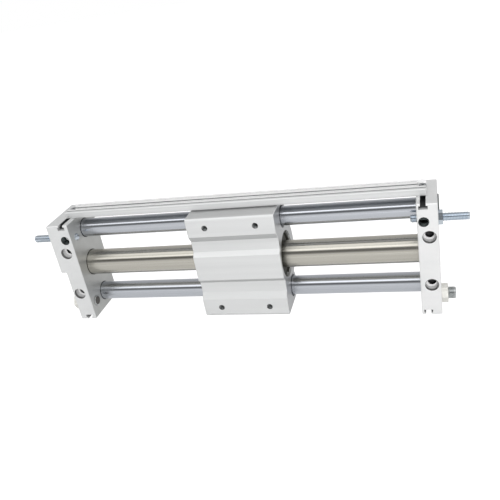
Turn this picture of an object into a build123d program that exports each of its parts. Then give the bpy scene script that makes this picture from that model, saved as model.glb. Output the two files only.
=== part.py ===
"""Magnetic rodless cylinder with two guide rods, a carriage and a sensor rail.

The cylinder stands on its end plates, +X runs along the tube and the front faces -Y.
The origin is the middle of the overall box, on the surface that it stands on.
"""

import os

from build123d import *

os.makedirs("parts", exist_ok=True)

# Fits
running_fit = 0.05
press_gap = 0.02
seat_gap = 0.1

# Cylinder tube and its end seals
tube_bore = 25.0
tube_wall = 1.4
tube_seat = 12.0
seal_wall = 1.6
seal_width = 2.4
seal_inset = 4.0

# Guide rods
rod_diameter = 20.0
rod_back = 4.95
rod_seat = 9.0
rod_chamfer = 1.0
rod_screw_diameter = 6.0
rod_screw_hole = 6.6
rod_screw_depth = 14.0
rod_screw_reach = 12.0
rod_screw_head = 10.0
rod_screw_head_height = 6.0
rod_screw_pocket = 11.0
rod_screw_web = 3.2
rod_cap_diameter = 24.0
rod_cap_thickness = 1.2
rod_cap_chamfer = 0.4

# Magnet stack, shared by the outer rings and the inner rings, with its gaps to the tube
magnet_count = 4
magnet_width = 7.0
yoke_width = 2.6
stack_wall = 10.1
outer_magnet_gap = 1.3
outer_yoke_gap = 0.7
inner_magnet_gap = 1.1
inner_yoke_gap = 0.7
retainer_gap = 0.5
snap_ring_inset = 2.0
snap_ring_width = 1.75
snap_ring_wall = 2.5
snap_ring_bite = 1.2
snap_ring_mouth = 10.0
wear_ring_wall = 1.6
wear_ring_width = 12.0
wear_ring_inset = 5.0
scraper_wall = 3.2
scraper_width = 3.0

# Guide bushes
bush_wall = 2.0
bush_length = 26.0
bush_inset = 3.0

# Slide block of the carriage
slide_length = 91.0
slide_offset = 0.6
slide_gap = 1.5
slide_rod_web = 3.35
slide_front_wall = 4.0
slide_back_wall = 11.0
slide_land = 20.0
slide_ramp = 6.8
slide_floor_drop = 4.5
slide_floor_end = 18.0
slide_centre_drop = 0.8
slide_centre_half = 13.5
slide_corner = 3.0
slide_edge = 0.5
slide_hole = 6.0
slide_hole_depth = 12.0
slide_hole_length_pitch = 52.0
slide_hole_margin = 10.5
switch_magnet_diameter = 6.0
switch_magnet_height = 3.0
switch_magnet_back = 0.7

# End plates
plate_gap = 354.2
plate_thickness = 18.7
plate_back = 30.0
plate_margin = 17.75
plate_edge = 0.7
head_thickness = 25.2
head_step = 1.6

# Mounting holes, ports and T slots of the plates
mount_inset = 10.4
mount_from_rod = 15.25
mount_hole = 8.0
mount_counterbore = 12.0
mount_counterbore_depth = 8.0
port_diameter = 9.7
port_depth = 7.0
port_margin = 17.6
port_inset_left = 7.0
port_inset_right = 6.0
slot_inset_left = 7.6
slot_inset_right = 6.0
slot_neck = 5.0
slot_neck_depth = 2.0
slot_head = 8.1
slot_depth = 5.4

# Adjusting bolts and their lock nuts
bolt_diameter = 8.0
bolt_length = 52.0
bolt_inset = 12.0
bolt_margin = 19.0
bolt_chamfer = 1.0
bolt_tip_left = 1.6
bolt_tip_right = 6.0
bolt_socket = 4.0
bolt_socket_depth = 4.5
bolt_nut_flats = 12.0
bolt_nut_height = 4.0
nut_bevel = 0.6

# Threaded bumpers and their nuts
bumper_diameter = 12.0
bumper_length = 26.0
bumper_inset = 12.0
bumper_margin = 17.0
bumper_chamfer = 0.8
bumper_tip_left = 0.9
bumper_recess_right = 5.8
bumper_pad = 9.4
bumper_pad_depth = 5.0
bumper_pad_proud = 0.5
bumper_socket = 5.0
bumper_socket_depth = 4.0
bumper_nut_flats = 16.0
bumper_nut_height = 6.0

# Sensor rail
rail_overlap = 9.3
rail_height = 7.0
rail_front = 10.0
rail_width = 24.4
rail_groove_depth = 4.5
rail_groove_one = 7.7
rail_groove_one_width = 6.0
rail_groove_two = 18.3
rail_groove_two_width = 4.7
rail_edge = 0.7
rail_screw_diameter = 4.0
rail_screw_hole = 4.5
rail_screw_head = 7.0
rail_screw_head_height = 2.6
rail_screw_pocket = 8.6
rail_screw_length = 7.0
rail_screw_socket = 2.5
rail_screw_socket_depth = 1.6
rail_screw_back = 6.0
slot_nut_play = 0.25
slot_nut_length = 10.0

# Piston assembly inside the tube
shaft_diameter = 8.0
piston_gap = 0.3
piston_length = 16.0
piston_seal_width = 3.0
piston_seal_wall = 2.2
piston_seal_inset = 3.0
piston_ring_width = 5.0
piston_ring_wall = 1.4
piston_ring_inset = 9.0
piston_nut_flats = 13.0
piston_nut_height = 5.0
piston_bumper_bore = 16.0
piston_bumper_outer = 22.0
piston_bumper_length = 7.0
shaft_proud = 2.0

# Sizes that follow from those above
tube_outer = tube_bore + 2 * tube_wall
tube_radius = tube_outer / 2
bush_outer = rod_diameter / 2 + bush_wall
slide_bore = tube_outer + 2 * stack_wall
rod_distance = slide_bore / 2 + snap_ring_bite + slide_rod_web + bush_outer
rod_height = (rod_distance**2 - rod_back**2) ** 0.5
plate_height = 2 * (rod_height + plate_margin)
plate_front = slide_bore / 2 + slide_front_wall
slide_height = plate_height - 2 * slide_gap
slide_half = slide_length / 2
slide_lobe = slide_bore / 2 + slide_back_wall
stack_half = (magnet_count * magnet_width + (magnet_count + 1) * yoke_width) / 2
stack_pitch = magnet_width + yoke_width
retainer_end = slide_half - snap_ring_inset - snap_ring_width
piston_face = stack_half + piston_length
shaft_radius = shaft_diameter / 2

# Places that follow from them
mid_x = (bolt_tip_right - bolt_tip_left) / 2
axis_y = (plate_front - slide_lobe) / 2
axis_z = plate_height / 2
left_face = mid_x - plate_gap / 2
right_face = mid_x + plate_gap / 2
front_face = axis_y - plate_front
back_face = axis_y + plate_back
slide_x = mid_x + slide_offset
slide_start = slide_x - slide_half
slide_end = slide_x + slide_half
slide_top = axis_z + slide_height / 2
rod_y = axis_y + rod_back
rod_heights = (axis_z - rod_height, axis_z + rod_height)
mount_pitch = 2 * (rod_height - mount_from_rod)
bolt_y = front_face + bolt_inset
bolt_z = plate_height - bolt_margin
bumper_y = front_face + bumper_inset
bumper_z = bumper_margin
port_z = plate_height - port_margin

# Radii with their clearances
tube_socket = tube_radius + press_gap
running_bore = tube_radius + running_fit
bore_radius = tube_bore / 2 - running_fit
rod_socket = rod_diameter / 2 + press_gap
outer_ring = slide_bore / 2 - running_fit
nut_bore = bolt_diameter / 2 + running_fit
shaft_bore = shaft_radius + running_fit


def across_x(x):
    """Plane square to the tube at x, with its drawing in Y and Z."""
    return Plane.YZ.offset(x)


def front_plane(y):
    """Plane that faces the front at y, with its drawing in X and Z."""
    return Plane.XZ.offset(-y)


def make_plate(inner, outward, lower, upper, port_inset, slot_inset, rod_pockets):
    """One end plate: inner face at x = inner, growing outward by +1 or -1."""
    top = plate_height
    step = axis_z + head_step
    mount_x = inner + outward * mount_inset
    slot_x = inner + outward * slot_inset
    outline = [(inner, 0), (inner + outward * lower, 0)]
    if upper != lower:
        outline += [(inner + outward * lower, step), (inner + outward * upper, step)]
    outline += [(inner + outward * upper, top), (inner, top)]
    with BuildPart() as plate:
        with BuildSketch(front_plane(back_face)):
            with BuildLine():
                Polyline(outline, close=True)
            make_face()
        extrude(amount=plate_front + plate_back)
        chamfer(plate.edges(), length=plate_edge)
        with BuildSketch(across_x(inner)):
            with Locations((axis_y, axis_z)):
                Circle(tube_socket)
        extrude(amount=outward * tube_seat, mode=Mode.SUBTRACT)
        with BuildSketch(across_x(inner + outward * seal_inset)):
            with Locations((axis_y, axis_z)):
                Circle(tube_socket + seal_wall)
        extrude(amount=outward * seal_width, mode=Mode.SUBTRACT)
        with BuildSketch(across_x(inner)):
            with Locations([(rod_y, z) for z in rod_heights]):
                Circle(rod_socket)
        extrude(amount=outward * rod_seat, mode=Mode.SUBTRACT)
        with BuildSketch(across_x(inner)):
            with Locations([(rod_y, z) for z in rod_heights]):
                Circle(rod_screw_hole / 2)
            with Locations((bolt_y, bolt_z)):
                Circle(nut_bore)
            with Locations((bumper_y, bumper_z)):
                Circle(bumper_diameter / 2 + running_fit)
        extrude(amount=outward * upper, mode=Mode.SUBTRACT)
        for z, pocket in zip(rod_heights, rod_pockets):
            with BuildSketch(across_x(inner + outward * (rod_seat + rod_screw_web))):
                with Locations((rod_y, z)):
                    Circle(rod_screw_pocket / 2)
            extrude(amount=outward * pocket, mode=Mode.SUBTRACT)
        with BuildSketch(front_plane(back_face)):
            with Locations((mount_x, axis_z)):
                with GridLocations(0, mount_pitch, 1, 2):
                    Circle(mount_hole / 2)
        extrude(amount=plate_front + plate_back, mode=Mode.SUBTRACT)
        with BuildSketch(front_plane(front_face)):
            with Locations((mount_x, axis_z)):
                with GridLocations(0, mount_pitch, 1, 2):
                    Circle(mount_counterbore / 2)
        extrude(amount=-mount_counterbore_depth, mode=Mode.SUBTRACT)
        with BuildSketch(front_plane(front_face)):
            with Locations((inner + outward * port_inset, port_z)):
                Circle(port_diameter / 2)
        extrude(amount=-port_depth, mode=Mode.SUBTRACT)
        with BuildSketch(front_plane(back_face)):
            for end, inward in ((0, 1), (top, -1)):
                with Locations((slot_x, end + inward * slot_depth / 2)):
                    Rectangle(slot_neck, slot_depth)
                with Locations((slot_x, end + inward * (slot_neck_depth + slot_depth) / 2)):
                    Rectangle(slot_head, slot_depth - slot_neck_depth)
        extrude(amount=plate_front + plate_back, mode=Mode.SUBTRACT)
    return plate.part


def make_ring(start, length, outer, bore, y=axis_y, z=axis_z):
    """A plain ring about a line along X, from its start face."""
    with BuildPart() as ring:
        with BuildSketch(across_x(start)):
            with Locations((y, z)):
                Circle(outer)
                Circle(bore, mode=Mode.SUBTRACT)
        extrude(amount=length)
    return ring.part


def make_nut(start, length, flats, bore, y, z):
    """A bevelled hexagon nut about a line along X, from its start face."""
    corner = flats / 3**0.5
    with BuildPart() as nut:
        with BuildSketch(across_x(start)):
            with Locations((y, z)):
                RegularPolygon(corner, 6)
                Circle(bore, mode=Mode.SUBTRACT)
        extrude(amount=length)
        with BuildSketch(across_x(start)):
            with Locations((y, z)):
                Circle(corner)
        extrude(amount=length, mode=Mode.INTERSECT)
        chamfer(nut.edges().filter_by(GeomType.CIRCLE).sort_by(SortBy.RADIUS)[:2], length=nut_bevel / 2)
    return nut.part


# End plates
rod_pocket_lower = plate_thickness - rod_seat - rod_screw_web
rod_pocket_upper = head_thickness - rod_seat - rod_screw_web
with BuildPart() as left_end_plate:
    add(
        make_plate(
            left_face,
            -1,
            plate_thickness,
            head_thickness,
            port_inset_left,
            slot_inset_left,
            (rod_pocket_lower, rod_pocket_upper),
        )
    )
left_end_plate.part.label = "left_end_plate"
export_step(left_end_plate.part, "parts/left_end_plate.step")

with BuildPart() as right_end_plate:
    add(
        make_plate(
            right_face,
            1,
            plate_thickness,
            plate_thickness,
            port_inset_right,
            slot_inset_right,
            (rod_pocket_lower, rod_pocket_lower),
        )
    )
right_end_plate.part.label = "right_end_plate"
export_step(right_end_plate.part, "parts/right_end_plate.step")


# Cylinder tube, clamped between the plates, with a ring seal at each end
with BuildPart() as cylinder_tube:
    add(make_ring(left_face - tube_seat, plate_gap + 2 * tube_seat, tube_radius, tube_bore / 2))
cylinder_tube.part.label = "cylinder_tube"
export_step(cylinder_tube.part, "parts/cylinder_tube.step")

with BuildPart() as tube_seals:
    for start in (left_face - seal_inset - seal_width, right_face + seal_inset):
        add(make_ring(start, seal_width, tube_socket + seal_wall - press_gap, tube_radius + press_gap))
tube_seals.part.label = "tube_seals"
export_step(tube_seals.part, "parts/tube_seals.step")

# Guide rods, each with a tapped hole in both ends
for name, z in zip(("guide_rod_lower", "guide_rod_upper"), rod_heights):
    with BuildPart() as guide_rod:
        with BuildSketch(across_x(left_face - rod_seat)):
            with Locations((rod_y, z)):
                Circle(rod_diameter / 2)
        extrude(amount=plate_gap + 2 * rod_seat)
        ends = guide_rod.faces().filter_by(Axis.X)
        chamfer(ends.edges(), length=rod_chamfer)
        for x, inward in ((left_face - rod_seat, 1), (right_face + rod_seat, -1)):
            with BuildSketch(across_x(x)):
                with Locations((rod_y, z)):
                    Circle(rod_screw_diameter / 2 + running_fit)
            extrude(amount=inward * rod_screw_depth, mode=Mode.SUBTRACT)
    guide_rod.part.label = name
    export_step(guide_rod.part, f"parts/{name}.step")

# Cap screws that pull the rods into the plates
with BuildPart() as rod_screws:
    for face, outward in ((left_face, -1), (right_face, 1)):
        seat = face + outward * (rod_seat + rod_screw_web)
        for z in rod_heights:
            with BuildSketch(across_x(seat)):
                with Locations((rod_y, z)):
                    Circle(rod_screw_head / 2)
                    RegularPolygon(rod_screw_diameter / 2, 6, mode=Mode.SUBTRACT)
            extrude(amount=outward * rod_screw_head_height)
            with BuildSketch(across_x(seat)):
                with Locations((rod_y, z)):
                    Circle(rod_screw_diameter / 2)
            extrude(amount=-outward * (rod_screw_web + rod_screw_reach))
            with BuildSketch(across_x(seat)):
                with Locations((rod_y, z)):
                    Circle(rod_screw_diameter / 2)
            extrude(amount=outward * rod_screw_head_height / 2)
rod_screws.part.label = "rod_screws"
export_step(rod_screws.part, "parts/rod_screws.step")

# Cap over the upper rod's screw, on the outer face of the right plate
cap_face = right_face + plate_thickness
with BuildPart() as rod_end_cap:
    with BuildSketch(across_x(cap_face)):
        with Locations((rod_y, rod_heights[1])):
            Circle(rod_cap_diameter / 2)
    extrude(amount=rod_cap_thickness)
    chamfer(rod_end_cap.edges().sort_by(Axis.X)[-1], length=rod_cap_chamfer)
    with BuildSketch(across_x(cap_face)):
        with Locations((rod_y, rod_heights[1])):
            Circle(rod_screw_pocket / 2 - press_gap)
    extrude(amount=-rod_pocket_lower + rod_screw_head_height + seat_gap)
rod_end_cap.part.label = "rod_end_cap"
export_step(rod_end_cap.part, "parts/rod_end_cap.step")

# Adjusting bolts, threaded through the plates, with a hexagon socket in the outer end
for name, face, outward, tip in (
    ("adjusting_bolt_left", left_face, -1, bolt_tip_left),
    ("adjusting_bolt_right", right_face, 1, bolt_tip_right),
):
    inner_end = face - outward * tip
    outer_end = inner_end + outward * bolt_length
    with BuildPart() as adjusting_bolt:
        with BuildSketch(across_x(inner_end)):
            with Locations((bolt_y, bolt_z)):
                Circle(bolt_diameter / 2)
        extrude(amount=outward * bolt_length)
        chamfer(adjusting_bolt.edges().filter_by(GeomType.CIRCLE), length=bolt_chamfer)
        with BuildSketch(across_x(outer_end)):
            with Locations((bolt_y, bolt_z)):
                RegularPolygon(bolt_socket / 3**0.5, 6)
        extrude(amount=-outward * bolt_socket_depth, mode=Mode.SUBTRACT)
    adjusting_bolt.part.label = name
    export_step(adjusting_bolt.part, f"parts/{name}.step")

with BuildPart() as bolt_lock_nuts:
    add(
        make_nut(
            left_face - head_thickness - bolt_nut_height,
            bolt_nut_height,
            bolt_nut_flats,
            nut_bore,
            bolt_y,
            bolt_z,
        )
    )
    add(
        make_nut(
            right_face + plate_thickness,
            bolt_nut_height,
            bolt_nut_flats,
            nut_bore,
            bolt_y,
            bolt_z,
        )
    )
bolt_lock_nuts.part.label = "bolt_lock_nuts"
export_step(bolt_lock_nuts.part, "parts/bolt_lock_nuts.step")

# Bumper holders, threaded through the plates, each with a soft pad in its inner end
pad_radius = bumper_pad / 2
for side, face, outward, tip in (
    ("left", left_face, -1, bumper_tip_left),
    ("right", right_face, 1, -bumper_recess_right),
):
    inner_end = face - outward * tip
    outer_end = inner_end + outward * bumper_length
    with BuildPart() as bumper_holder:
        with BuildSketch(across_x(inner_end)):
            with Locations((bumper_y, bumper_z)):
                Circle(bumper_diameter / 2)
        extrude(amount=outward * bumper_length)
        rim = bumper_holder.edges().filter_by(GeomType.CIRCLE)
        chamfer(rim, length=bumper_chamfer)
        with BuildSketch(across_x(inner_end)):
            with Locations((bumper_y, bumper_z)):
                Circle(pad_radius + press_gap)
        extrude(amount=outward * bumper_pad_depth, mode=Mode.SUBTRACT)
        with BuildSketch(across_x(outer_end)):
            with Locations((bumper_y, bumper_z)):
                RegularPolygon(bumper_socket / 3**0.5, 6)
        extrude(amount=-outward * bumper_socket_depth, mode=Mode.SUBTRACT)
    bumper_holder.part.label = f"bumper_holder_{side}"
    export_step(bumper_holder.part, f"parts/bumper_holder_{side}.step")

    with BuildPart() as bumper_pad_piece:
        with BuildSketch(across_x(inner_end + outward * bumper_pad_depth)):
            with Locations((bumper_y, bumper_z)):
                Circle(pad_radius)
        extrude(amount=-outward * (bumper_pad_depth + bumper_pad_proud))
        nose = bumper_pad_piece.edges().sort_by(Axis.X)
        chamfer(nose[-1] if outward < 0 else nose[0], length=bumper_pad_proud)
    bumper_pad_piece.part.label = f"bumper_pad_{side}"
    export_step(bumper_pad_piece.part, f"parts/bumper_pad_{side}.step")

with BuildPart() as bumper_nuts:
    for start in (left_face - plate_thickness - bumper_nut_height, right_face + plate_thickness):
        add(
            make_nut(
                start,
                bumper_nut_height,
                bumper_nut_flats,
                bumper_diameter / 2 + running_fit,
                bumper_y,
                bumper_z,
            )
        )
bumper_nuts.part.label = "bumper_nuts"
export_step(bumper_nuts.part, "parts/bumper_nuts.step")

# Sensor rail across both plates, with a groove for a position sensor
rail_start = left_face - rail_overlap
rail_length = plate_gap + 2 * rail_overlap
rail_low = plate_height
rail_top = plate_height + rail_height
rail_y = axis_y - rail_front
screw_y = axis_y + rail_screw_back
screw_places = [left_face - slot_inset_left, right_face + slot_inset_right]
with BuildPart() as sensor_rail:
    with BuildSketch(across_x(rail_start)):
        with Locations((rail_y + rail_width / 2, rail_low + rail_height / 2)):
            Rectangle(rail_width, rail_height)
        chamfer(vertices(), length=rail_edge)
        for start, width in (
            (rail_groove_one, rail_groove_one_width),
            (rail_groove_two, rail_groove_two_width),
        ):
            with Locations((rail_y + start + width / 2, rail_top - rail_groove_depth / 2)):
                Rectangle(width, rail_groove_depth, mode=Mode.SUBTRACT)
    extrude(amount=rail_length)
    with BuildSketch(Plane.XY.offset(rail_top)):
        with Locations([(x, screw_y) for x in screw_places]):
            Circle(rail_screw_pocket / 2)
    extrude(amount=-rail_groove_depth, mode=Mode.SUBTRACT)
    with BuildSketch(Plane.XY.offset(rail_top)):
        with Locations([(x, screw_y) for x in screw_places]):
            Circle(rail_screw_hole / 2)
    extrude(amount=-rail_height, mode=Mode.SUBTRACT)
sensor_rail.part.label = "sensor_rail"
export_step(sensor_rail.part, "parts/sensor_rail.step")

screw_seat = rail_top - rail_groove_depth
with BuildPart() as rail_screws:
    for x in screw_places:
        with BuildSketch(Plane.XY.offset(screw_seat)):
            with Locations((x, screw_y)):
                Circle(rail_screw_head / 2)
        extrude(amount=rail_screw_head_height)
        with BuildSketch(Plane.XY.offset(screw_seat + rail_screw_head_height)):
            with Locations((x, screw_y)):
                RegularPolygon(rail_screw_socket / 3**0.5, 6)
        extrude(amount=-rail_screw_socket_depth, mode=Mode.SUBTRACT)
        with BuildSketch(Plane.XY.offset(screw_seat)):
            with Locations((x, screw_y)):
                Circle(rail_screw_diameter / 2)
        extrude(amount=-rail_screw_length)
rail_screws.part.label = "rail_screws"
export_step(rail_screws.part, "parts/rail_screws.step")

head_low = plate_height - slot_depth + slot_nut_play
head_high = plate_height - slot_neck_depth
with BuildPart() as slot_nuts:
    for x in screw_places:
        with BuildSketch(Plane.XY.offset(head_low)):
            with Locations((x, screw_y)):
                Rectangle(slot_head - 2 * slot_nut_play, slot_nut_length)
                Circle(rail_screw_diameter / 2 + running_fit, mode=Mode.SUBTRACT)
        extrude(amount=head_high - head_low)
        with BuildSketch(Plane.XY.offset(head_high)):
            with Locations((x, screw_y)):
                Rectangle(slot_neck - 2 * slot_nut_play, slot_nut_length)
                Circle(rail_screw_diameter / 2 + running_fit, mode=Mode.SUBTRACT)
        extrude(amount=slot_neck_depth - slot_nut_play)
slot_nuts.part.label = "slot_nuts"
export_step(slot_nuts.part, "parts/slot_nuts.step")

# Slide block: front profile with lands, ramps and a raised centre, lobes at the back
rod_lobe = slide_height / 2 - rod_height
land_start = slide_height / 2 - slide_land
floor_front = front_face + slide_floor_drop
slide_outline = [
    (axis_y, slide_height / 2),
    (front_face, slide_height / 2),
    (front_face, land_start),
    (floor_front, land_start - slide_ramp),
    (floor_front, slide_floor_end),
    (front_face + slide_centre_drop, slide_centre_half),
]
slide_low = [(y, axis_z - z) for y, z in slide_outline]
slide_high = [(y, axis_z + z) for y, z in reversed(slide_outline)]
sensor_y = axis_y + switch_magnet_back
with BuildPart() as slide_block:
    with BuildSketch(across_x(slide_start)):
        with Locations((axis_y, axis_z)):
            Circle(slide_lobe)
            Rectangle(slide_lobe, plate_height, align=(Align.MAX, Align.CENTER), mode=Mode.SUBTRACT)
        with BuildLine():
            Polyline(slide_low + slide_high, close=True)
        make_face()
        for z in rod_heights:
            with Locations((rod_y, z)):
                Circle(rod_lobe)
            with Locations(((axis_y + rod_y) / 2, z)):
                Rectangle(rod_back, 2 * rod_lobe)
        corners = vertices().group_by(Axis.X)[0]
        fillet(corners.filter_by(lambda v: abs(v.Y - axis_z) > slide_height / 2 - seat_gap), slide_corner)
    extrude(amount=slide_length)
    front_edges = slide_block.faces().filter_by(Axis.X).edges().filter_by(GeomType.LINE)
    chamfer(front_edges.filter_by(lambda e: e.center().Y < axis_y - slide_corner), length=slide_edge)
    with BuildSketch(across_x(slide_start)):
        with Locations((axis_y, axis_z)):
            Circle(slide_bore / 2)
        with Locations([(rod_y, z) for z in rod_heights]):
            Circle(bush_outer)
    extrude(amount=slide_length, mode=Mode.SUBTRACT)
    for x in (slide_start + snap_ring_inset, slide_end - snap_ring_inset - snap_ring_width):
        with BuildSketch(across_x(x)):
            with Locations((axis_y, axis_z)):
                Circle(slide_bore / 2 + snap_ring_bite)
        extrude(amount=snap_ring_width, mode=Mode.SUBTRACT)
    with BuildSketch(front_plane(front_face)):
        with Locations((slide_x, axis_z)):
            with GridLocations(slide_hole_length_pitch, slide_height - 2 * slide_hole_margin, 2, 2):
                Circle(slide_hole / 2)
    extrude(amount=-slide_hole_depth, mode=Mode.SUBTRACT)
    with BuildSketch(Plane.XY.offset(slide_top)):
        with Locations((slide_x, sensor_y)):
            Circle(switch_magnet_diameter / 2 + press_gap)
    extrude(amount=-switch_magnet_height - seat_gap, mode=Mode.SUBTRACT)
slide_block.part.label = "slide_block"
export_step(slide_block.part, "parts/slide_block.step")

# Magnet in the top of the slide block, which the sensor in the rail sees
with BuildPart() as switch_magnet:
    with BuildSketch(Plane.XY.offset(slide_top - seat_gap)):
        with Locations((slide_x, sensor_y)):
            Circle(switch_magnet_diameter / 2)
    extrude(amount=-switch_magnet_height)
switch_magnet.part.label = "switch_magnet"
export_step(switch_magnet.part, "parts/switch_magnet.step")

# Plain bushes that run on the rods, two in each rod bore
for side, x in (("left", slide_start + bush_inset), ("right", slide_end - bush_inset - bush_length)):
    for level, z in zip(("lower", "upper"), rod_heights):
        with BuildPart() as guide_bush:
            add(make_ring(x, bush_length, bush_outer - press_gap, rod_diameter / 2 + running_fit, rod_y, z))
        guide_bush.part.label = f"guide_bush_{level}_{side}"
        export_step(guide_bush.part, f"parts/guide_bush_{level}_{side}.step")

# Outer magnet stack: steel yokes at both ends and between the ring magnets
with BuildPart() as outer_yokes:
    for i in range(magnet_count + 1):
        x = slide_x - stack_half + i * stack_pitch
        add(make_ring(x, yoke_width, outer_ring, tube_radius + outer_yoke_gap))
outer_yokes.part.label = "outer_yokes"
export_step(outer_yokes.part, "parts/outer_yokes.step")

with BuildPart() as outer_magnets:
    for i in range(magnet_count):
        x = slide_x - stack_half + yoke_width + i * stack_pitch
        add(make_ring(x, magnet_width, outer_ring, tube_radius + outer_magnet_gap))
outer_magnets.part.label = "outer_magnets"
export_step(outer_magnets.part, "parts/outer_magnets.step")

# Retainers that hold the stack, each with a wear ring and a scraper on the tube
for side, way in (("left", -1), ("right", 1)):
    outer_end = slide_x + way * retainer_end
    with BuildPart() as stack_retainer:
        add(
            make_ring(
                min(outer_end, slide_x + way * stack_half),
                retainer_end - stack_half,
                outer_ring,
                tube_radius + retainer_gap,
            )
        )
        with BuildSketch(across_x(outer_end)):
            with Locations((axis_y, axis_z)):
                Circle(running_bore + scraper_wall)
        extrude(amount=-way * scraper_width, mode=Mode.SUBTRACT)
        with BuildSketch(across_x(outer_end - way * wear_ring_inset)):
            with Locations((axis_y, axis_z)):
                Circle(running_bore + wear_ring_wall)
        extrude(amount=-way * wear_ring_width, mode=Mode.SUBTRACT)
    stack_retainer.part.label = f"stack_retainer_{side}"
    export_step(stack_retainer.part, f"parts/stack_retainer_{side}.step")

wear_starts = [slide_x + retainer_end - wear_ring_inset - wear_ring_width]
wear_starts.append(slide_x - retainer_end + wear_ring_inset)
with BuildPart() as tube_wear_rings:
    for x in wear_starts:
        add(make_ring(x, wear_ring_width, running_bore + wear_ring_wall, running_bore))
tube_wear_rings.part.label = "tube_wear_rings"
export_step(tube_wear_rings.part, "parts/tube_wear_rings.step")

with BuildPart() as tube_scrapers:
    for x in (slide_x - retainer_end, slide_x + retainer_end - scraper_width):
        add(make_ring(x, scraper_width, running_bore + scraper_wall, running_bore))
tube_scrapers.part.label = "tube_scrapers"
export_step(tube_scrapers.part, "parts/tube_scrapers.step")

with BuildPart() as snap_rings:
    for x in (slide_x - retainer_end - snap_ring_width, slide_x + retainer_end):
        with BuildSketch(across_x(x)):
            with Locations((axis_y, axis_z)):
                Circle(slide_bore / 2 + snap_ring_bite - running_fit)
                Circle(slide_bore / 2 - snap_ring_wall, mode=Mode.SUBTRACT)
            with Locations((axis_y, axis_z - slide_bore / 2)):
                Rectangle(snap_ring_mouth, snap_ring_mouth, mode=Mode.SUBTRACT)
        extrude(amount=snap_ring_width)
snap_rings.part.label = "snap_rings"
export_step(snap_rings.part, "parts/snap_rings.step")

# Piston inside the tube: shaft, inner magnets and yokes, two piston heads, nuts and bumpers
shaft_half = piston_face + piston_nut_height + shaft_proud
with BuildPart() as piston_shaft:
    with BuildSketch(across_x(slide_x - shaft_half)):
        with Locations((axis_y, axis_z)):
            Circle(shaft_radius)
    extrude(amount=2 * shaft_half)
    chamfer(piston_shaft.edges().filter_by(GeomType.CIRCLE), length=bolt_chamfer)
piston_shaft.part.label = "piston_shaft"
export_step(piston_shaft.part, "parts/piston_shaft.step")

with BuildPart() as inner_yokes:
    for i in range(magnet_count + 1):
        x = slide_x - stack_half + i * stack_pitch
        add(make_ring(x, yoke_width, tube_bore / 2 - inner_yoke_gap, shaft_bore))
inner_yokes.part.label = "inner_yokes"
export_step(inner_yokes.part, "parts/inner_yokes.step")

with BuildPart() as inner_magnets:
    for i in range(magnet_count):
        x = slide_x - stack_half + yoke_width + i * stack_pitch
        add(make_ring(x, magnet_width, tube_bore / 2 - inner_magnet_gap, shaft_bore))
inner_magnets.part.label = "inner_magnets"
export_step(inner_magnets.part, "parts/inner_magnets.step")

for side, way in (("left", -1), ("right", 1)):
    outer_end = slide_x + way * piston_face
    with BuildPart() as piston_head:
        add(
            make_ring(
                min(outer_end, slide_x + way * stack_half),
                piston_length,
                tube_bore / 2 - piston_gap,
                shaft_bore,
            )
        )
        for inset, width, wall in (
            (piston_seal_inset, piston_seal_width, piston_seal_wall),
            (piston_ring_inset, piston_ring_width, piston_ring_wall),
        ):
            with BuildSketch(across_x(outer_end - way * inset)):
                with Locations((axis_y, axis_z)):
                    Circle(tube_bore / 2)
                    Circle(bore_radius - wall, mode=Mode.SUBTRACT)
            extrude(amount=-way * width, mode=Mode.SUBTRACT)
    piston_head.part.label = f"piston_{side}"
    export_step(piston_head.part, f"parts/piston_{side}.step")

for name, inset, width, wall in (
    ("piston_seals", piston_seal_inset, piston_seal_width, piston_seal_wall),
    ("piston_wear_rings", piston_ring_inset, piston_ring_width, piston_ring_wall),
):
    with BuildPart() as piston_rings:
        for x in (slide_x - piston_face + inset, slide_x + piston_face - inset - width):
            add(make_ring(x, width, bore_radius, bore_radius - wall))
    piston_rings.part.label = name
    export_step(piston_rings.part, f"parts/{name}.step")

with BuildPart() as piston_nuts:
    for x in (slide_x - piston_face - piston_nut_height, slide_x + piston_face):
        add(make_nut(x, piston_nut_height, piston_nut_flats, shaft_bore, axis_y, axis_z))
piston_nuts.part.label = "piston_nuts"
export_step(piston_nuts.part, "parts/piston_nuts.step")

with BuildPart() as piston_bumpers:
    for x in (slide_x - piston_face - piston_bumper_length, slide_x + piston_face):
        add(make_ring(x, piston_bumper_length, piston_bumper_outer / 2, piston_bumper_bore / 2))
piston_bumpers.part.label = "piston_bumpers"
export_step(piston_bumpers.part, "parts/piston_bumpers.step")
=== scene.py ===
from math import cos, pi, radians, sin, tau

import bmesh
import bpy
from mathutils import Matrix, Vector


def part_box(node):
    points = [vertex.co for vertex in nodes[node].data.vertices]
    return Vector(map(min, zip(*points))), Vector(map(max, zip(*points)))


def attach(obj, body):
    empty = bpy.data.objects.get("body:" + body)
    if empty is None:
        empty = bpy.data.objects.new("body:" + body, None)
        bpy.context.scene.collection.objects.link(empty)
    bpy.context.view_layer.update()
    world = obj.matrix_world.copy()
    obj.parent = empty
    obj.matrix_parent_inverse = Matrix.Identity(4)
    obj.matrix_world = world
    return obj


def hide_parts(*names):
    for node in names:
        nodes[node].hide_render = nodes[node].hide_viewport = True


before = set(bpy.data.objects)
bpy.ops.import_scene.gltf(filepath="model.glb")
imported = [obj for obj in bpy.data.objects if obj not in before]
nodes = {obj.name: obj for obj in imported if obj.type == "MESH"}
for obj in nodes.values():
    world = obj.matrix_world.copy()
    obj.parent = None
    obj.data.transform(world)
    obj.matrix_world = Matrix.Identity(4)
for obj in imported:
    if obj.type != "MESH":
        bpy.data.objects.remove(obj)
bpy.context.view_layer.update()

# Camera: stands in front, to the right and above, and is rolled so that the tube climbs to the right.
# Its place in metres, turn in degrees and lens in millimetres were fitted to the real object's edges.
camera_place = (0.1997, -0.5666, 0.3521)
camera_turn = (63.706, 9.784, 13.833)
camera_lens = 45.95

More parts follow.
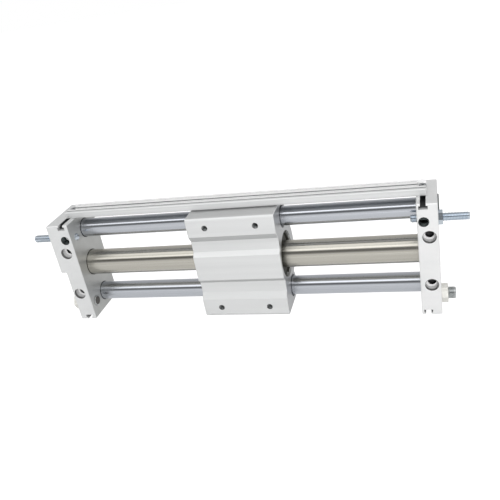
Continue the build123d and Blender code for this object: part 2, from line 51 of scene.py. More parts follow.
camera_data = bpy.data.cameras.new("camera")
camera_data.sensor_fit = "HORIZONTAL"
camera_data.sensor_width = 36
camera_data.lens = camera_lens
camera = bpy.data.objects.new("camera", camera_data)
camera.location = camera_place
camera.rotation_euler = [radians(angle) for angle in camera_turn]
bpy.context.scene.collection.objects.link(camera)
bpy.context.scene.camera = camera
bpy.context.scene.view_settings.view_transform = "Standard"


# Studio: white paper below, soft lamps in front and behind, and a room whose brightness follows the
# angle about the X axis, so that the rods and the tube mirror it in straight bands along their length.
# The camera sees the room as plain white.
def linear(hex_colour):
    """Turn an sRGB hex colour into linear RGBA."""
    values = [int(hex_colour[i : i + 2], 16) / 255 for i in (1, 3, 5)]
    return [v / 12.92 if v <= 0.04045 else ((v + 0.055) / 1.055) ** 2.4 for v in values] + [1.0]


def add_node(tree, kind, settings=None, inputs=None):
    """Add a node, set its attributes, then set or link its inputs by name or number."""
    node = tree.nodes.new(kind)
    for key, value in (settings or {}).items():
        setattr(node, key, value)
    for key, value in (inputs or {}).items():
        if isinstance(value, bpy.types.NodeSocket):
            tree.links.new(value, node.inputs[key])
        else:
            node.inputs[key].default_value = value
    return node


def set_ramp(node, stops):
    """Give a colour ramp its stops, as (position, hex colour) pairs."""
    ramp = node.color_ramp
    while len(ramp.elements) < len(stops):
        ramp.elements.new(0.5)
    for element, (position, hex_colour) in zip(ramp.elements, stops):
        element.position = position
        element.color = linear(hex_colour)


# The room's shades over one turn about X: 0.25 is straight down, 0.5 is the front, 0.75 is overhead.
# The dark band near 0.58 is the unlit wall that the rods show as a dark line.
room_shades = [
    (0.000, "#c1c1c1"),
    (0.500, "#d3d3d3"),
    (0.519, "#d0d0d0"),
    (0.533, "#c1c1c1"),
    (0.550, "#959595"),
    (0.572, "#666666"),
    (0.597, "#666666"),
    (0.611, "#8d8d8d"),
    (0.631, "#dadada"),
    (0.656, "#dadada"),
    (0.686, "#e8e8e8"),
    (0.711, "#f8f8f8"),
    (0.736, "#ffffff"),
    (0.764, "#dedede"),
    (0.792, "#acacac"),
    (0.833, "#989898"),
    (0.875, "#a8a8a8"),
    (1.000, "#b2b2b2"),
]
# The room is dimmer to the right, so the ends of the block and the plates are darker than their fronts.
room_strength = 1.4
room_strength_right = 0.98
world = bpy.data.worlds.new("studio_room")
world.use_nodes = True
bpy.context.scene.world = world
sky = world.node_tree
sky.nodes.clear()
gaze = add_node(sky, "ShaderNodeTexCoord")
axes = add_node(sky, "ShaderNodeSeparateXYZ", None, {0: gaze.outputs["Generated"]})
ahead = add_node(sky, "ShaderNodeMath", {"operation": "MULTIPLY"}, {0: axes.outputs["Y"], 1: -1.0})
up_and_ahead = {0: axes.outputs["Z"], 1: ahead.outputs[0]}
angle = add_node(sky, "ShaderNodeMath", {"operation": "ARCTAN2"}, up_and_ahead)
whole_turn = {"Value": angle.outputs[0], "From Min": -pi, "From Max": pi}
share = add_node(sky, "ShaderNodeMapRange", None, whole_turn)
room = add_node(sky, "ShaderNodeValToRGB", None, {0: share.outputs[0]})
set_ramp(room, room_shades)
to_the_right = {
    "Value": axes.outputs["X"],
    "From Min": 0.25,
    "From Max": 0.75,
    "To Min": room_strength,
    "To Max": room_strength_right,
}
strength = add_node(sky, "ShaderNodeMapRange", None, to_the_right)
room_look = {"Color": room.outputs[0], "Strength": strength.outputs[0]}
room_light = add_node(sky, "ShaderNodeBackground", None, room_look)
white_back = add_node(sky, "ShaderNodeBackground", None, {"Color": linear("#ffffff"), "Strength": 1.0})
sky_ray = add_node(sky, "ShaderNodeLightPath")
sky_sides = {0: sky_ray.outputs["Is Camera Ray"], 1: room_light.outputs[0], 2: white_back.outputs[0]}
sky_mix = add_node(sky, "ShaderNodeMixShader", None, sky_sides)
add_node(sky, "ShaderNodeOutputWorld", None, {0: sky_mix.outputs[0]})


def add_softbox(name, place, width, depth, power, mirrored):
    """Hang a rectangular lamp that faces the object, with its width along X."""
    lamp = bpy.data.lights.new(name, "AREA")
    lamp.shape = "RECTANGLE"
    lamp.size = width
    lamp.size_y = depth
    lamp.energy = power
    holder = bpy.data.objects.new(name, lamp)
    holder.location = place
    aim = Vector((0, 0, 0.05)) - Vector(place)
    holder.rotation_euler = aim.to_track_quat("-Z", "Y").to_euler()
    holder.visible_glossy = mirrored
    bpy.context.scene.collection.objects.link(holder)


# The long front lamp shows in the metal; the two small ones only light it, or they would leave spots.
add_softbox("front_softbox", (0.1, -0.80, 1.15), 2.2, 0.35, 1.8, True)
add_softbox("key_softbox", (0.55, -1.42, 0.62), 0.6, 0.5, 19.0, False)
add_softbox("back_softbox", (-0.4, 1.4, 0.30), 0.8, 0.6, 6.0, False)


def smooth_between(shape, sharp):
    """Shade a shape as round, apart from the edges sharper than an angle."""
    for face in shape.faces:
        face.smooth = True
    for edge in shape.edges:
        edge.smooth = len(edge.link_faces) == 2 and edge.calc_face_angle() < radians(sharp)


def new_piece(name, shape, sharp=35):
    """Make an object from a finished bmesh."""
    smooth_between(shape, sharp)
    mesh = bpy.data.meshes.new(name)
    shape.to_mesh(mesh)
    shape.free()
    piece = bpy.data.objects.new(name, mesh)
    bpy.context.scene.collection.objects.link(piece)
    return piece


floor_size = 8.0
floor_drop = 0.0005
sheet = bmesh.new()
bmesh.ops.create_grid(sheet, x_segments=1, y_segments=1, size=floor_size / 2)
bmesh.ops.translate(sheet, verts=sheet.verts, vec=(0, 0, -floor_drop))
floor = new_piece("floor", sheet)

# Grey paper lights the object; the camera, mirrors and glass see it lifted to white, with its shadow.
sweep = bpy.data.materials.new("white_paper_sweep")
sweep.use_nodes = True
tree = sweep.node_tree
tree.nodes.clear()
paper = add_node(tree, "ShaderNodeBsdfDiffuse", None, {"Color": linear("#999999")})
ray = add_node(tree, "ShaderNodeLightPath")
to_camera = ray.outputs["Is Camera Ray"]
lift = add_node(tree, "ShaderNodeMath", {"operation": "MULTIPLY_ADD"}, {0: to_camera, 1: 0.45, 2: 0.50})
glow_look = {"Color": linear("#ffffff"), "Strength": lift.outputs[0]}
glow = add_node(tree, "ShaderNodeEmission", None, glow_look)
lit = add_node(tree, "ShaderNodeAddShader", None, {0: paper.outputs[0], 1: glow.outputs[0]})
mirror_rays = {0: ray.outputs["Is Glossy Ray"], 1: ray.outputs["Is Transmission Ray"]}
mirrored = add_node(tree, "ShaderNodeMath", {"operation": "MAXIMUM"}, mirror_rays)
seen = add_node(tree, "ShaderNodeMath", {"operation": "MAXIMUM"}, {0: to_camera, 1: mirrored.outputs[0]})
sweep_sides = {0: seen.outputs[0], 1: paper.outputs[0], 2: lit.outputs[0]}
surface = add_node(tree, "ShaderNodeMixShader", None, sweep_sides)
add_node(tree, "ShaderNodeOutputMaterial", None, {0: surface.outputs[0]})
floor.data.materials.append(sweep)


# Cylinder tube: drawn stainless steel, ground along its length.
# Its ends sit in sockets of the end plates, which the guide rods pull together.
def new_material(name):
    """Start a material with a Principled shader and its object coordinates."""
    made = bpy.data.materials.new(name)
    made.use_nodes = True
    tree = made.node_tree
    tree.nodes.clear()
    shader = add_node(tree, "ShaderNodeBsdfPrincipled")
    add_node(tree, "ShaderNodeOutputMaterial", None, {0: shader.outputs[0]})
    place = add_node(tree, "ShaderNodeTexCoord").outputs["Object"]
    return made, tree, shader, place


def grain(tree, place, across_mm, along_mm, detail=3.0):
    """Noise with its spacings across and along X.

    Real grinding marks, die lines and etching are 0.05 to 0.2 mm apart, too fine to show, so the
    spacings given here are about 1 mm and more.
    """
    scale = (1000 / along_mm, 1000 / across_mm, 1000 / across_mm)
    scaled = add_node(tree, "ShaderNodeMapping", None, {"Vector": place, "Scale": scale})
    look = {"Vector": scaled.outputs[0], "Scale": 1.0, "Detail": detail}
    return add_node(tree, "ShaderNodeTexNoise", None, look).outputs["Fac"]


def vary(tree, shader, pattern, dark, light, roughness, swing=0.0):
    """Let a pattern carry the colour between two tones, and the roughness to either side of its mean."""
    least, most = 0.3, 0.7
    tones = add_node(tree, "ShaderNodeValToRGB", None, {0: pattern})
    set_ramp(tones, [(least, dark), (most, light)])
    tree.links.new(tones.outputs[0], shader.inputs["Base Color"])
    shader.inputs["Roughness"].default_value = roughness
    if swing:
        ends = {
            "Value": pattern,
            "From Min": least,
            "From Max": most,
            "To Min": roughness * (1 - swing),
            "To Max": roughness * (1 + swing),
        }
        shine = add_node(tree, "ShaderNodeMapRange", None, ends)
        tree.links.new(shine.outputs[0], shader.inputs["Roughness"])


def ground_metal(name, dark, light, roughness, across_mm, along_mm, bump_mm, stretch=0.0):
    """Bare or plated metal with a fine grain along X.

    A stretch draws its reflections out along X, as the fine marks of centreless grinding do.
    """
    made, tree, shader, place = new_material(name)
    lines = grain(tree, place, across_mm, along_mm)
    vary(tree, shader, lines, dark, light, roughness, 0.2)
    relief = {"Height": lines, "Strength": 0.3, "Distance": bump_mm / 1000}
    raised = add_node(tree, "ShaderNodeBump", None, relief)
    tree.links.new(raised.outputs[0], shader.inputs["Normal"])
    shader.inputs["Metallic"].default_value = 1.0
    if stretch:
        axis = add_node(tree, "ShaderNodeCombineXYZ", None, {"X": 1.0})
        tree.links.new(axis.outputs[0], shader.inputs["Tangent"])
        shader.inputs["Anisotropic"].default_value = stretch
    return made


def finished_copy(node, edge_mm=0.0, sharp=35):
    """Merge a copy of a CAD node, round it between sharp edges and break those edges."""
    shape = bmesh.new()
    shape.from_mesh(nodes[node].data)
    bmesh.ops.remove_doubles(shape, verts=shape.verts, dist=1e-6)
    flat = radians(0.5)
    bmesh.ops.dissolve_limit(shape, angle_limit=flat, verts=shape.verts, edges=shape.edges)
    piece = new_piece(node + "_finished", shape, sharp)
    if edge_mm:
        bevel = piece.modifiers.new("broken_edges", "BEVEL")
        bevel.width = edge_mm / 1000
        bevel.segments = 2
        bevel.limit_method = "ANGLE"
        bevel.angle_limit = radians(sharp)
        bevel.harden_normals = True
    return piece


def fit(piece, material, body, slot, *replaced):
    """Give a finished piece its material, body and the nodes that it stands for; the slot is not used."""
    piece.data.materials.clear()
    piece.data.materials.append(material)
    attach(piece, body)
    if replaced:
        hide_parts(*replaced)


# Drawn and ground stainless steel: warm grey, with streaks and long soft reflections.
stainless = ground_metal("drawn_stainless_steel", "#bfbcb3", "#cdcac1", 0.21, 1.2, 260, 0.001, 0.96)
fit(finished_copy("cylinder_tube"), stainless, "frame", "tube_steel", "cylinder_tube")


# Guide rods: case-hardened steel bars, ground and hard chromed, which carry the slide block.
# A cap screw in each end pulls them into the sockets of the plates.

# Hard chrome: a cool grey mirror with faint streaks.
hard_chrome = ground_metal("hard_chromed_steel", "#c3c7ce", "#cdd0d6", 0.17, 1.0, 260, 0.001, 0.96)
for node in ("guide_rod_lower", "guide_rod_upper"):
    fit(finished_copy(node), hard_chrome, "frame", "rod_chrome", node)

# Black oxide on steel: nearly black, with a dull shine.
black_oxide = ground_metal("black_oxide_steel", "#1d1d20", "#2b2b2f", 0.42, 1.0, 8, 0.02)
fit(finished_copy("rod_screws", 0.25), black_oxide, "frame", "black_steel", "rod_screws")


# End plates: sawn from aluminium bar, milled, drilled and clear anodised.
# Their front faces carry the mounting holes and a port each, their short ends a T slot each.
def satin_metal(name, dark, light, roughness, across_mm, along_mm, bump_mm, metallic=0.55):
    """Metal under a thin matt skin, such as clear anodised aluminium, with a fine etched speck."""
    made, tree, shader, place = new_material(name)
    cloud = grain(tree, place, across_mm, along_mm, 4.0)
    vary(tree, shader, cloud, dark, light, roughness, 0.08)
    speck = grain(tree, place, 1.1, 1.1, 2.0)
    relief = {"Height": speck, "Strength": 0.1, "Distance": bump_mm / 1000}
    raised = add_node(tree, "ShaderNodeBump", None, relief)
    tree.links.new(raised.outputs[0], shader.inputs["Normal"])
    shader.inputs["Metallic"].default_value = metallic
    return made


front_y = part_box("left_end_plate")[0].y


def painted_hole_shade(name, reach, shades):
    """Aluminium inside a hole or slot, with painted shade that changes over a depth counted from the
    front face.
    """
    made, tree, shader, place = new_material(name)
    along = add_node(tree, "ShaderNodeSeparateXYZ", None, {0: place}).outputs["Y"]
    ends = {"Value": along, "From Min": front_y, "From Max": front_y + reach}
    inward = add_node(tree, "ShaderNodeMapRange", None, ends)
    shade = add_node(tree, "ShaderNodeValToRGB", None, {0: inward.outputs[0]})
    set_ramp(shade, shades)
    tree.links.new(shade.outputs[0], shader.inputs["Base Color"])
    shader.inputs["Roughness"].default_value = 0.6
    return made


def paint_faces(piece, material, chosen):
    """Give the faces that a test picks, by middle and normal, another material."""
    piece.data.materials.append(material)
    last = len(piece.data.materials) - 1
    for face in piece.data.polygons:
        if chosen(face.center, face.normal):
            face.material_index = last


def in_hole(centre, x, heights, radius, depth):
    """True for a face inside a round hole that goes in from the front, at x and one of some heights.

    The test keeps 0.3 mm clear of the front face, and reaches a little past the wall and the bottom.
    """
    beside = min(Vector((centre.x - x, centre.z - z)).length for z in heights)
    return beside < radius + 0.0001 and front_y + 0.0003 < centre.y < front_y + depth + 0.0005


def in_slot(centre, normal, x):
    """True for a face inside the T slot in the top or bottom of a plate."""
    middle_z, slot_floor, slot_mouth, slot_side = 0.058, 0.0525, 0.0578, 0.0042
    out = abs(centre.z - middle_z)
    return abs(centre.x - x) < slot_side and slot_floor < out < slot_mouth and abs(normal.y) < 0.5


def chamfer_mouths(piece, across, circles, width):
    """Chamfer the mouths of round holes and paint them with the piece's last material.

    Across is 0 for holes along X and 1 for holes along Y. A circle has its middle, in the hole's
    mouth, and the least and greatest radius that its edges can have.
    """
    shape = bmesh.new()
    shape.from_mesh(piece.data)
    mouths = set()
    for middle, least, most in circles:
        for edge in shape.edges:
            gaps = [vert.co - Vector(middle) for vert in edge.verts]
            if all(abs(gap[across]) < 1e-5 and least < gap.length < most for gap in gaps):
                mouths.add(edge)
    made = bmesh.ops.bevel(
        shape,
        geom=list(mouths),
        offset=width,
        offset_type="OFFSET",
        segments=1,
        profile=0.5,
        affect="EDGES",
        material=-1,
    )
    for face in made["faces"]:
        face.material_index = len(piece.data.materials) - 1
    shape.to_mesh(piece.data)
    shape.free()


def drill_deeper(piece, place, radius, depth):
    """Carry the flat bottom of a hole on with a narrower drilled hole, along +Y."""
    shape = bmesh.new()
    shape.from_mesh(piece.data)
    spot = Vector(place)
    bottom = min(
        (face for face in shape.faces if face.normal.y < -0.99),
        key=lambda face: (face.calc_center_median() - spot).length,
    )
    wide = max((vert.co - spot).length for vert in bottom.verts)
    bmesh.ops.inset_region(shape, faces=[bottom], thickness=wide - radius)
    pushed = bmesh.ops.extrude_face_region(shape, geom=[bottom])
    moved = [item for item in pushed["geom"] if isinstance(item, bmesh.types.BMVert)]
    bmesh.ops.translate(shape, verts=moved, vec=(0, depth, 0))
    bmesh.ops.delete(shape, geom=[bottom], context="FACES_ONLY")
    shape.to_mesh(piece.data)
    shape.free()


# A thread ridge has its foot this deep in the metal, and is wound in this many steps a turn.
ridge_foot = 0.0001
ridge_steps = 24


def add_ridge(shape, start, turns, pitch, root, crest):
    """Wind one thread ridge about the X axis: a triangle spun with a lead."""
    corners = [(start, root), (start + pitch * 0.9, root), (start + pitch * 0.45, crest)]
    face = shape.faces.new([shape.verts.new((x, 0, radius)) for x, radius in corners])
    bmesh.ops.spin(
        shape,
        geom=[face],
        cent=(0, 0, 0),
        axis=(1, 0, 0),
        dvec=(pitch / ridge_steps, 0, 0),
        angle=tau * turns,
        steps=int(ridge_steps * turns),
        use_duplicate=False,
    )


def thread_hole(node, place, radius, pitch, depth, length):
    """A thread ridge inside a hole that goes in along +Y from its place on a front face."""
    shape = bmesh.new()
    lead_in = 0.0003
    add_ridge(shape, lead_in, length / pitch - 1, pitch, radius + ridge_foot, radius - depth)
    quarter = Matrix.Rotation(pi / 2, 3, "Z")
    bmesh.ops.rotate(shape, cent=(0, 0, 0), matrix=quarter, verts=shape.verts)
    bmesh.ops.translate(shape, verts=shape.verts, vec=place)
    bmesh.ops.recalc_face_normals(shape, faces=shape.faces)
    return new_piece(node + "_thread", shape)


port_radius = 0.00485
port_pitch = 0.000907
port_thread_depth = 0.0005
port_depth = 0.007
port_drill = 0.0036
port_drill_depth = 0.008
port_z = 0.0984
mount_heights = (0.033, 0.083)
mount_drill = 0.004
mount_drill_depth = 0.050
bore_radius = 0.006
bore_depth = 0.008
bore_chamfer = 0.0003
socket_chamfer = 0.0007

# Milled inner faces: shinier than the fronts, so that they mirror the rods and the floor, and given a
# darker colour as painted shade.
inner_painted_shade = satin_metal("inner_face_painted_shade", "#bcbdbb", "#c8c9c7", 0.42, 14, 30, 0.01, 0.7)
# Cut threads in the ports: painted shade, dark because little light comes out of them.
port_thread_painted_shade = ground_metal("painted_shade_in_port_threads", "#444a4a", "#565c5c", 0.3, 1.5, 3, 0.005)
# T slots: painted shade, pale at the front and nearly black inside, where little light reaches.
slot_painted_ramp = [(0.0, "#bcbdbd"), (0.45, "#a0a1a1"), (0.7, "#3a3b3c")]
slot_painted_shade = painted_hole_shade("painted_shade_in_slots", 0.008, slot_painted_ramp)
# Counterbores: a dark rim of painted shade over the bright turned metal of the seat.
bore_painted_ramp = [(0.0, "#565756"), (0.3, "#6c6d6c"), (0.45, "#c4c4c4"), (1.0, "#d8d8d8")]
bore_painted_shade = painted_hole_shade("painted_shade_in_counterbores", bore_depth, bore_painted_ramp)
# Drilled holes and chamfered mouths: painted shade, nearly black, with a painted reflection a little
# lighter deep inside.
drill_painted_ramp = [(0.3, "#1c1c1d"), (0.4, "#262627"), (0.5, "#6c6b6d"), (0.8, "#5a595b")]
drill_painted_shade = painted_hole_shade("painted_shade_in_drilled_holes", 0.030, drill_painted_ramp)

# Each plate's port, T slot and mounting holes along X, and the two tones of its pale satin skin; the
# right plate's tones are painted lighter than the left's, as painted light from the right.
plates = {
    "left_end_plate": (-0.1819, -0.1825, -0.1853, "#dcdddd", "#e4e5e5"),
    "right_end_plate": (0.1853, 0.1853, 0.1897, "#e4e5e5", "#ececec"),
}
for node, (port_x, slot_x, mount_x, dark, light) in plates.items():
    plate_painted_light_and_shade = satin_metal(node + "_anodised_aluminium", dark, light, 0.38, 14, 30, 0.02)
    plate = finished_copy(node, 0.25)
    drill_deeper(plate, (port_x, front_y + port_depth, port_z), port_drill, port_drill_depth)
    fit(plate, plate_painted_light_and_shade, "frame", "plate_alu", node)
    low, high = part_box(node)
    inner, inner_x = (1, high.x) if port_x < 0 else (-1, low.x)
    paint_faces(plate, inner_painted_shade, lambda c, n: n.x * inner > 0.99)
    paint_faces(plate, slot_painted_shade, lambda c, n: in_slot(c, n, slot_x))
    mounts = (mount_x, mount_heights)
    paint_faces(plate, bore_painted_shade, lambda c, n: in_hole(c, *mounts, bore_radius, bore_depth))
    paint_faces(
        plate,
        drill_painted_shade,
        lambda c, n: abs(n.y) < 0.5 and in_hole(c, *mounts, mount_drill, mount_drill_depth),
    )
    # The sockets are a little wider than the bars in them.
    sockets = []
    for bar in ("guide_rod_lower", "guide_rod_upper", "cylinder_tube"):
        low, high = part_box(bar)
        middle = (low + high) / 2
        radius = (high.z - low.z) / 2
        sockets.append(((inner_x, middle.y, middle.z), radius - 0.0001, radius + 0.0006))
    # The chamfered mouths of the sockets and counterbores take the drilled holes' painted shade, as dark
    # lines round the bars and the seats.
    chamfer_mouths(plate, 0, sockets, socket_chamfer)
    bores = [((mount_x, front_y, z), bore_radius - 0.0002, bore_radius + 0.0002) for z in mount_heights]
    chamfer_mouths(plate, 1, bores, bore_chamfer)
    # Painted shade inside the port and its drilled hole.
    paint_faces(plate, port_thread_painted_shade, lambda c, n: in_hole(c, port_x, (port_z,), port_radius, 0.020))
    port = (port_x, front_y, port_z)
    ridge = thread_hole(node, port, port_radius, port_pitch, port_thread_depth, port_depth)
    fit(ridge, port_thread_painted_shade, "frame", "plate_alu")


# Cover disc: a turned and dark anodised aluminium cap on the outside of the right plate.
# It is pressed in over the screw of the upper rod.

# Dark anodised: grey, with a soft shine.
dark_cap = satin_metal("dark_anodised_cap", "#606263", "#6e7071", 0.4, 6, 6, 0.02)
fit(finished_copy("rod_end_cap", 0.2), dark_cap, "frame", "charcoal_alloy", "rod_end_cap")


# Tube seals: moulded nitrile rings that lie in grooves of the plates, round the tube's ends.
# They are hidden by the plates.
def moulded(name, dark, light, roughness):
    """Moulded rubber or resin, with a faint mottle."""
    made, tree, shader, place = new_material(name)
    vary(tree, shader, grain(tree, place, 2.0, 2.0), dark, light, roughness)
    return made


# Nitrile: black and matt.
nitrile = moulded("moulded_nitrile", "#171717", "#232323", 0.6)
fit(finished_copy("tube_seals"), nitrile, "frame", "nbr", "tube_seals")


# Adjusting bolts: zinc plated steel set screws with a hexagon socket, threaded from end to end.
# They run in the plates and stop the slide block, and a thin lock nut holds each from outside.
def sink_hole(shape, x, rim, radius, sides, depth):
    """Sink a round or six-sided hole into the flat end of a bar at x."""
    places = [vert.co.x for vert in shape.verts]
    inward = -1 if x > (min(places) + max(places)) / 2 else 1
    end = [face for face in shape.faces if all(abs(v.co.x - x) < 1e-6 for v in face.verts)]
    bmesh.ops.inset_region(shape, faces=end, thickness=rim - radius)
    for vert in end[0].verts:
        angle = Vector((vert.co.y, vert.co.z)).angle_signed(Vector((1, 0)))
        size = radius
        if sides:
            size *= cos(pi / sides) / cos(angle % (tau / sides) - pi / sides)
        vert.co.y = size * cos(angle)
        vert.co.z = -size * sin(angle)
    pushed = bmesh.ops.extrude_face_region(shape, geom=end)
    bottom = [item for item in pushed["geom"] if isinstance(item, bmesh.types.BMVert)]
    bmesh.ops.delete(shape, geom=end, context="FACES_ONLY")
    bmesh.ops.translate(shape, verts=bottom, vec=(inward * depth, 0, 0))


def add_core(shape, start, end, radius, chamfer):
    """Turn a bar about the X axis with chamfered ends."""
    lay_down = Matrix.Translation(((start + end) / 2, 0, 0)) @ Matrix.Rotation(pi / 2, 4, "Y")
    bmesh.ops.create_cone(
        shape,
        cap_ends=True,
        cap_tris=False,
        segments=48,
        radius1=radius,
        radius2=radius,
        depth=end - start,
        matrix=lay_down,
    )
    rims = [e for e in shape.edges if abs(e.verts[0].co.x - e.verts[1].co.x) < 1e-6]
    bmesh.ops.bevel(
        shape,
        geom=rims,
        offset=chamfer,
        offset_type="OFFSET",
        segments=1,
        profile=0.5,
        affect="EDGES",
        material=-1,
    )


def threaded_bar(node, radius, pitch, depth, chamfer, holes):
    """A threaded bar with the length and place of its CAD node, and holes in its left or right end."""
    low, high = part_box(node)
    root = radius - depth
    shape = bmesh.new()
    add_core(shape, low.x, high.x, root, chamfer)
    for side, hole_radius, hole_depth, sides in holes:
        end = low.x if side == "left" else high.x
        sink_hole(shape, end, root - chamfer, hole_radius, sides, hole_depth)
    turns = (high.x - low.x - 2 * chamfer) / pitch - 1
    add_ridge(shape, low.x + chamfer, turns, pitch, root - ridge_foot, radius)
    middle = (low + high) / 2
    bmesh.ops.translate(shape, verts=shape.verts, vec=(0, middle.y, middle.z))
    bmesh.ops.recalc_face_normals(shape, faces=shape.faces)
    return new_piece(node + "_threaded", shape)


bolt_radius = 0.004
bolt_pitch = 0.00125
bolt_thread_depth = 0.0006
bolt_chamfer = 0.0006
bolt_socket = 0.0023
bolt_socket_depth = 0.0045

# Blue zinc plate: bright, with a cold blue tint.
blue_zinc = ground_metal("blue_zinc_plate", "#c6cfd9", "#dae2ea", 0.16, 3.0, 30, 0.001)
for side in ("left", "right"):
    node = "adjusting_bolt_" + side
    socket = [(side, bolt_socket, bolt_socket_depth, 6)]
    bolt = threaded_bar(node, bolt_radius, bolt_pitch, bolt_thread_depth, bolt_chamfer, socket)
    fit(bolt, blue_zinc, "bolt_" + side, "zinc_steel", node)
fit(finished_copy("bolt_lock_nuts", 0.15), blue_zinc, "frame", "zinc_steel", "bolt_lock_nuts")


# Bumpers: turned steel holders with a fine thread, each with a urethane pad in its inner end.
# A nickel plated hexagon nut locks each against the outer face of its plate.
holder_radius = 0.006
holder_pitch = 0.001
holder_thread_depth = 0.0005
holder_chamfer = 0.0006
holder_socket = 0.0029
holder_socket_depth = 0.004
pad_pocket = 0.00472
pad_pocket_depth = 0.005

# Dull nickel: pale and warm, with a satin shine.
nickel = satin_metal("dull_nickel_plate", "#e0dfd9", "#ecebe6", 0.35, 2, 8, 0.004, 0.35)
# Turned steel: neutral grey.
holder_steel = ground_metal("grey_turned_steel", "#c2c5c5", "#d3d6d6", 0.3, 1.5, 6, 0.004)
# Cast urethane: dark grey and dull.
urethane = moulded("dark_urethane", "#474542", "#53514d", 0.5)
for side, inner_side in (("left", "right"), ("right", "left")):
    body = "bumper_" + side
    node = "bumper_holder_" + side
    sunk = [
        (side, holder_socket, holder_socket_depth, 6),
        (inner_side, pad_pocket, pad_pocket_depth, 0),
    ]
    holder = threaded_bar(node, holder_radius, holder_pitch, holder_thread_depth, holder_chamfer, sunk)
    fit(holder, holder_steel, body, "nickel_steel", node)
    pad = "bumper_pad_" + side
    fit(finished_copy(pad, 0.2), urethane, body, "urethane", pad)
fit(finished_copy("bumper_nuts", 0.25), nickel, "frame", "nickel_steel", "bumper_nuts")


# Sensor rail: an aluminium extrusion, clear anodised, screwed to slot nuts in both plates.
# Its front groove takes the position sensor and its back groove the cable, and a shallow line is
# pressed along its front rib.
def score_rail(piece, line_y, half_width, depth, lip):
    """Press a V line along the front rib, and part the lip of the first groove from the wall below, so
    that the lip can carry a painted shadow.
    """
    shape = bmesh.new()
    shape.from_mesh(piece.data)
    top = max(vert.co.z for vert in shape.verts)
    cuts = [((0, line_y + step, 0), (0, 1, 0)) for step in (-half_width, 0, half_width)]
    cuts.append(((0, 0, top - lip), (0, 0, 1)))
    for place, normal in cuts:
        everything = shape.verts[:] + shape.edges[:] + shape.faces[:]
        bmesh.ops.bisect_plane(shape, geom=everything, dist=1e-7, plane_co=place, plane_no=normal)
    middle = [v for v in shape.verts if abs(v.co.y - line_y) < 1e-6 and abs(v.co.z - top) < 1e-6]
    bmesh.ops.translate(shape, verts=middle, vec=(0, 0, -depth))
    smooth_between(shape, 35)
    shape.to_mesh(piece.data)
    shape.free()


rail_low, rail_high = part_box("sensor_rail")
rail_line_y = rail_low.y + 0.0042
rail_line_half = 0.0009
rail_line_depth = 0.0008
rail_lip = 0.0012
painted_light_from_y = rail_low.y + 0.0052
groove_back_y = rail_low.y + 0.0137

# Extruded and anodised: pale grey, with faint die lines from end to end.
rail_finish = satin_metal("extruded_anodised_aluminium", "#d0d1d1", "#dedfdf", 0.36, 1.6, 260, 0.02)
# Its back ribs and groove walls: painted light, paler and flatter than the front face.
rail_painted_light = satin_metal("painted_light_on_rail", "#e5e5e5", "#ededed", 0.45, 1.6, 260, 0.02, 0.1)
# The pressed line and the lip of the groove: painted shadow, dark lines along the rail.
rail_painted_shadow = satin_metal("painted_shadow_lines_on_rail", "#787a7a", "#868888", 0.5, 1.6, 260, 0.02, 0.3)
rail = finished_copy("sensor_rail", 0.2)
score_rail(rail, rail_line_y, rail_line_half, rail_line_depth, rail_lip)
fit(rail, rail_finish, "frame", "rail_alu", "sensor_rail")
# Painted light on the tops and front-facing walls behind the front rib.
paint_faces(rail, rail_painted_light, lambda c, n: (n.z > 0.9 or n.y < -0.9) and c.y > painted_light_from_y)
# Painted shadow under the lip of the first groove and on the sloped sides of the pressed line.
paint_faces(
    rail,
    rail_painted_shadow,
    lambda c, n: n.y < -0.9 and abs(c.y - groove_back_y) < 0.0003 and c.z > rail_high.z - rail_lip,
)
paint_faces(rail, rail_painted_shadow, lambda c, n: 0.3 < n.z < 0.9 and abs(c.y - rail_line_y) < 0.001)

# Plain steel screws: mid grey with a soft shine.
screw_steel = ground_metal("plain_screw_steel", "#a6a8aa", "#b8babc", 0.36, 1.5, 6, 0.01)
fit(finished_copy("rail_screws", 0.2), screw_steel, "frame", "zinc_steel", "rail_screws")
# Passivated steel nuts: duller and darker.
plain_steel = ground_metal("zinc_passivated_steel", "#8d8f90", "#a2a4a5", 0.36, 2.0, 10, 0.02)
fit(finished_copy("slot_nuts", 0.2), plain_steel, "frame", "yoke_steel", "slot_nuts")


# Slide block: extruded aluminium, milled on its ends and clear anodised, with four tapped holes.
# It rides on the rods and is pulled along by the magnets on both sides of the tube wall.
hole_x = (-0.0232, 0.0288)
hole_heights = (0.012, 0.104)
tap_radius = 0.003
tap_pitch = 0.001
tap_thread_depth = 0.0005
tap_depth = 0.012

# Extruded faces: pale satin, with faint lines along the block.
slide_finish = satin_metal("slide_block_anodised", "#cfd0d0", "#d7d8d8", 0.38, 8, 220, 0.02, 0.3)
# Milled ends: shinier, and painted darker as painted shade.
end_milled_painted_shade = satin_metal("milled_ends_painted_shade", "#b6b7b8", "#c4c5c6", 0.34, 3, 40, 0.004, 0.7)
# Level faces on the top and faces turned down underneath: painted shade, a shade darker than the front.
level_painted_shade = satin_metal("painted_shade_on_level_faces", "#b6b7b7", "#c0c1c1", 0.38, 8, 220, 0.02, 0.3)
# Cut threads: painted shade, grey.
block_thread_painted_shade = ground_metal("painted_shade_in_block_threads", "#757878", "#8a8d8d", 0.3, 1.5, 3, 0.005)
block = finished_copy("slide_block", 0.2, 25)
fit(block, slide_finish, "carriage", "slide_alu", "slide_block")
paint_faces(block, end_milled_painted_shade, lambda c, n: abs(n.x) > 0.99)
paint_faces(block, level_painted_shade, lambda c, n: n.z > 0.9 or n.z < -0.4)
for x in hole_x:
    paint_faces(block, block_thread_painted_shade, lambda c, n: in_hole(c, x, hole_heights, tap_radius, tap_depth))
    for z in hole_heights:
        mouth = (x, front_y, z)
        ridge = thread_hole("slide_block", mouth, tap_radius, tap_pitch, tap_thread_depth, tap_depth)
        fit(ridge, block_thread_painted_shade, "carriage", "slide_alu")


# Guide bushes and the ends of the block's middle bore: plain bushes pressed in round each rod, and at
# each end of the bore a retainer, a scraper and a snap ring, which keep the magnet stack in.

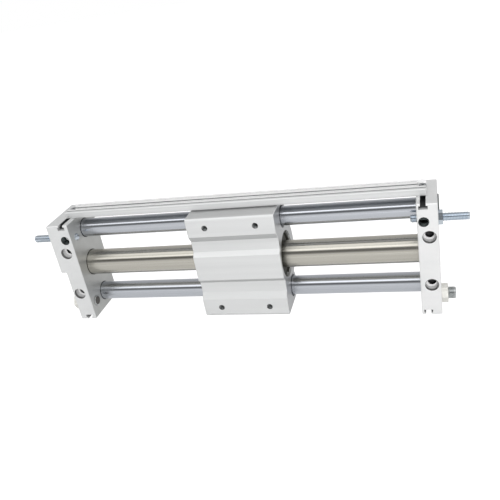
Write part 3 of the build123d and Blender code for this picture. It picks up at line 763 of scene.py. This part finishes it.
# Bush lining: dark grey and dull.
bush_lining = moulded("dark_bush_lining", "#3a3a3c", "#48484a", 0.5)
for level in ("lower", "upper"):
    for side in ("left", "right"):
        node = f"guide_bush_{level}_{side}"
        fit(finished_copy(node, 0.2), bush_lining, "carriage", "bush_liner", node)

# Charcoal anodised retainers and rings: dark, with a warm cast. The rubber is darker still.
charcoal = satin_metal("charcoal_retainer", "#43443f", "#504f4a", 0.5, 3, 3, 0.03)
for side in ("left", "right"):
    node = "stack_retainer_" + side
    fit(finished_copy(node, 0.2), charcoal, "carriage", "charcoal_alloy", node)
scraper_rubber = moulded("scraper_rubber", "#30302e", "#3c3c39", 0.6)
fit(finished_copy("tube_scrapers", 0.2), scraper_rubber, "carriage", "nbr", "tube_scrapers")
fit(finished_copy("snap_rings", 0.15), charcoal, "carriage", "black_steel", "snap_rings")


# Magnet stacks and the other inner pieces: ring magnets between steel yokes, in the block and on the
# piston's shaft, with turned piston heads, seals and wear rings.
# They are hidden by the block and the tube, and keep plain finishes of their own.
# Nickel plate: bright grey. Filled resin: brown and dull. Chromated aluminium: pale and satin.
magnet_plate = ground_metal("nickel_plated_magnet", "#9c9c9e", "#acacae", 0.22, 3.0, 3.0, 0.01)
wear_resin = moulded("wear_resin", "#4b3a2a", "#5a4734", 0.5)
piston_finish = satin_metal("chromated_aluminium", "#b8b8b6", "#c6c6c4", 0.4, 3, 12, 0.02)
inner_pieces = (
    ("outer_yokes", plain_steel, "carriage", "yoke_steel"),
    ("outer_magnets", magnet_plate, "carriage", "magnet"),
    ("switch_magnet", magnet_plate, "carriage", "magnet"),
    ("tube_wear_rings", wear_resin, "carriage", "resin"),
    ("piston_shaft", blue_zinc, "piston", "zinc_steel"),
    ("inner_yokes", plain_steel, "piston", "yoke_steel"),
    ("inner_magnets", magnet_plate, "piston", "magnet"),
    ("piston_left", piston_finish, "piston", "piston_alu"),
    ("piston_right", piston_finish, "piston", "piston_alu"),
    ("piston_seals", nitrile, "piston", "nbr"),
    ("piston_wear_rings", wear_resin, "piston", "resin"),
    ("piston_nuts", blue_zinc, "piston", "zinc_steel"),
    ("piston_bumpers", urethane, "piston", "urethane"),
)
for node, material, body, slot in inner_pieces:
    fit(finished_copy(node), material, body, slot, node)
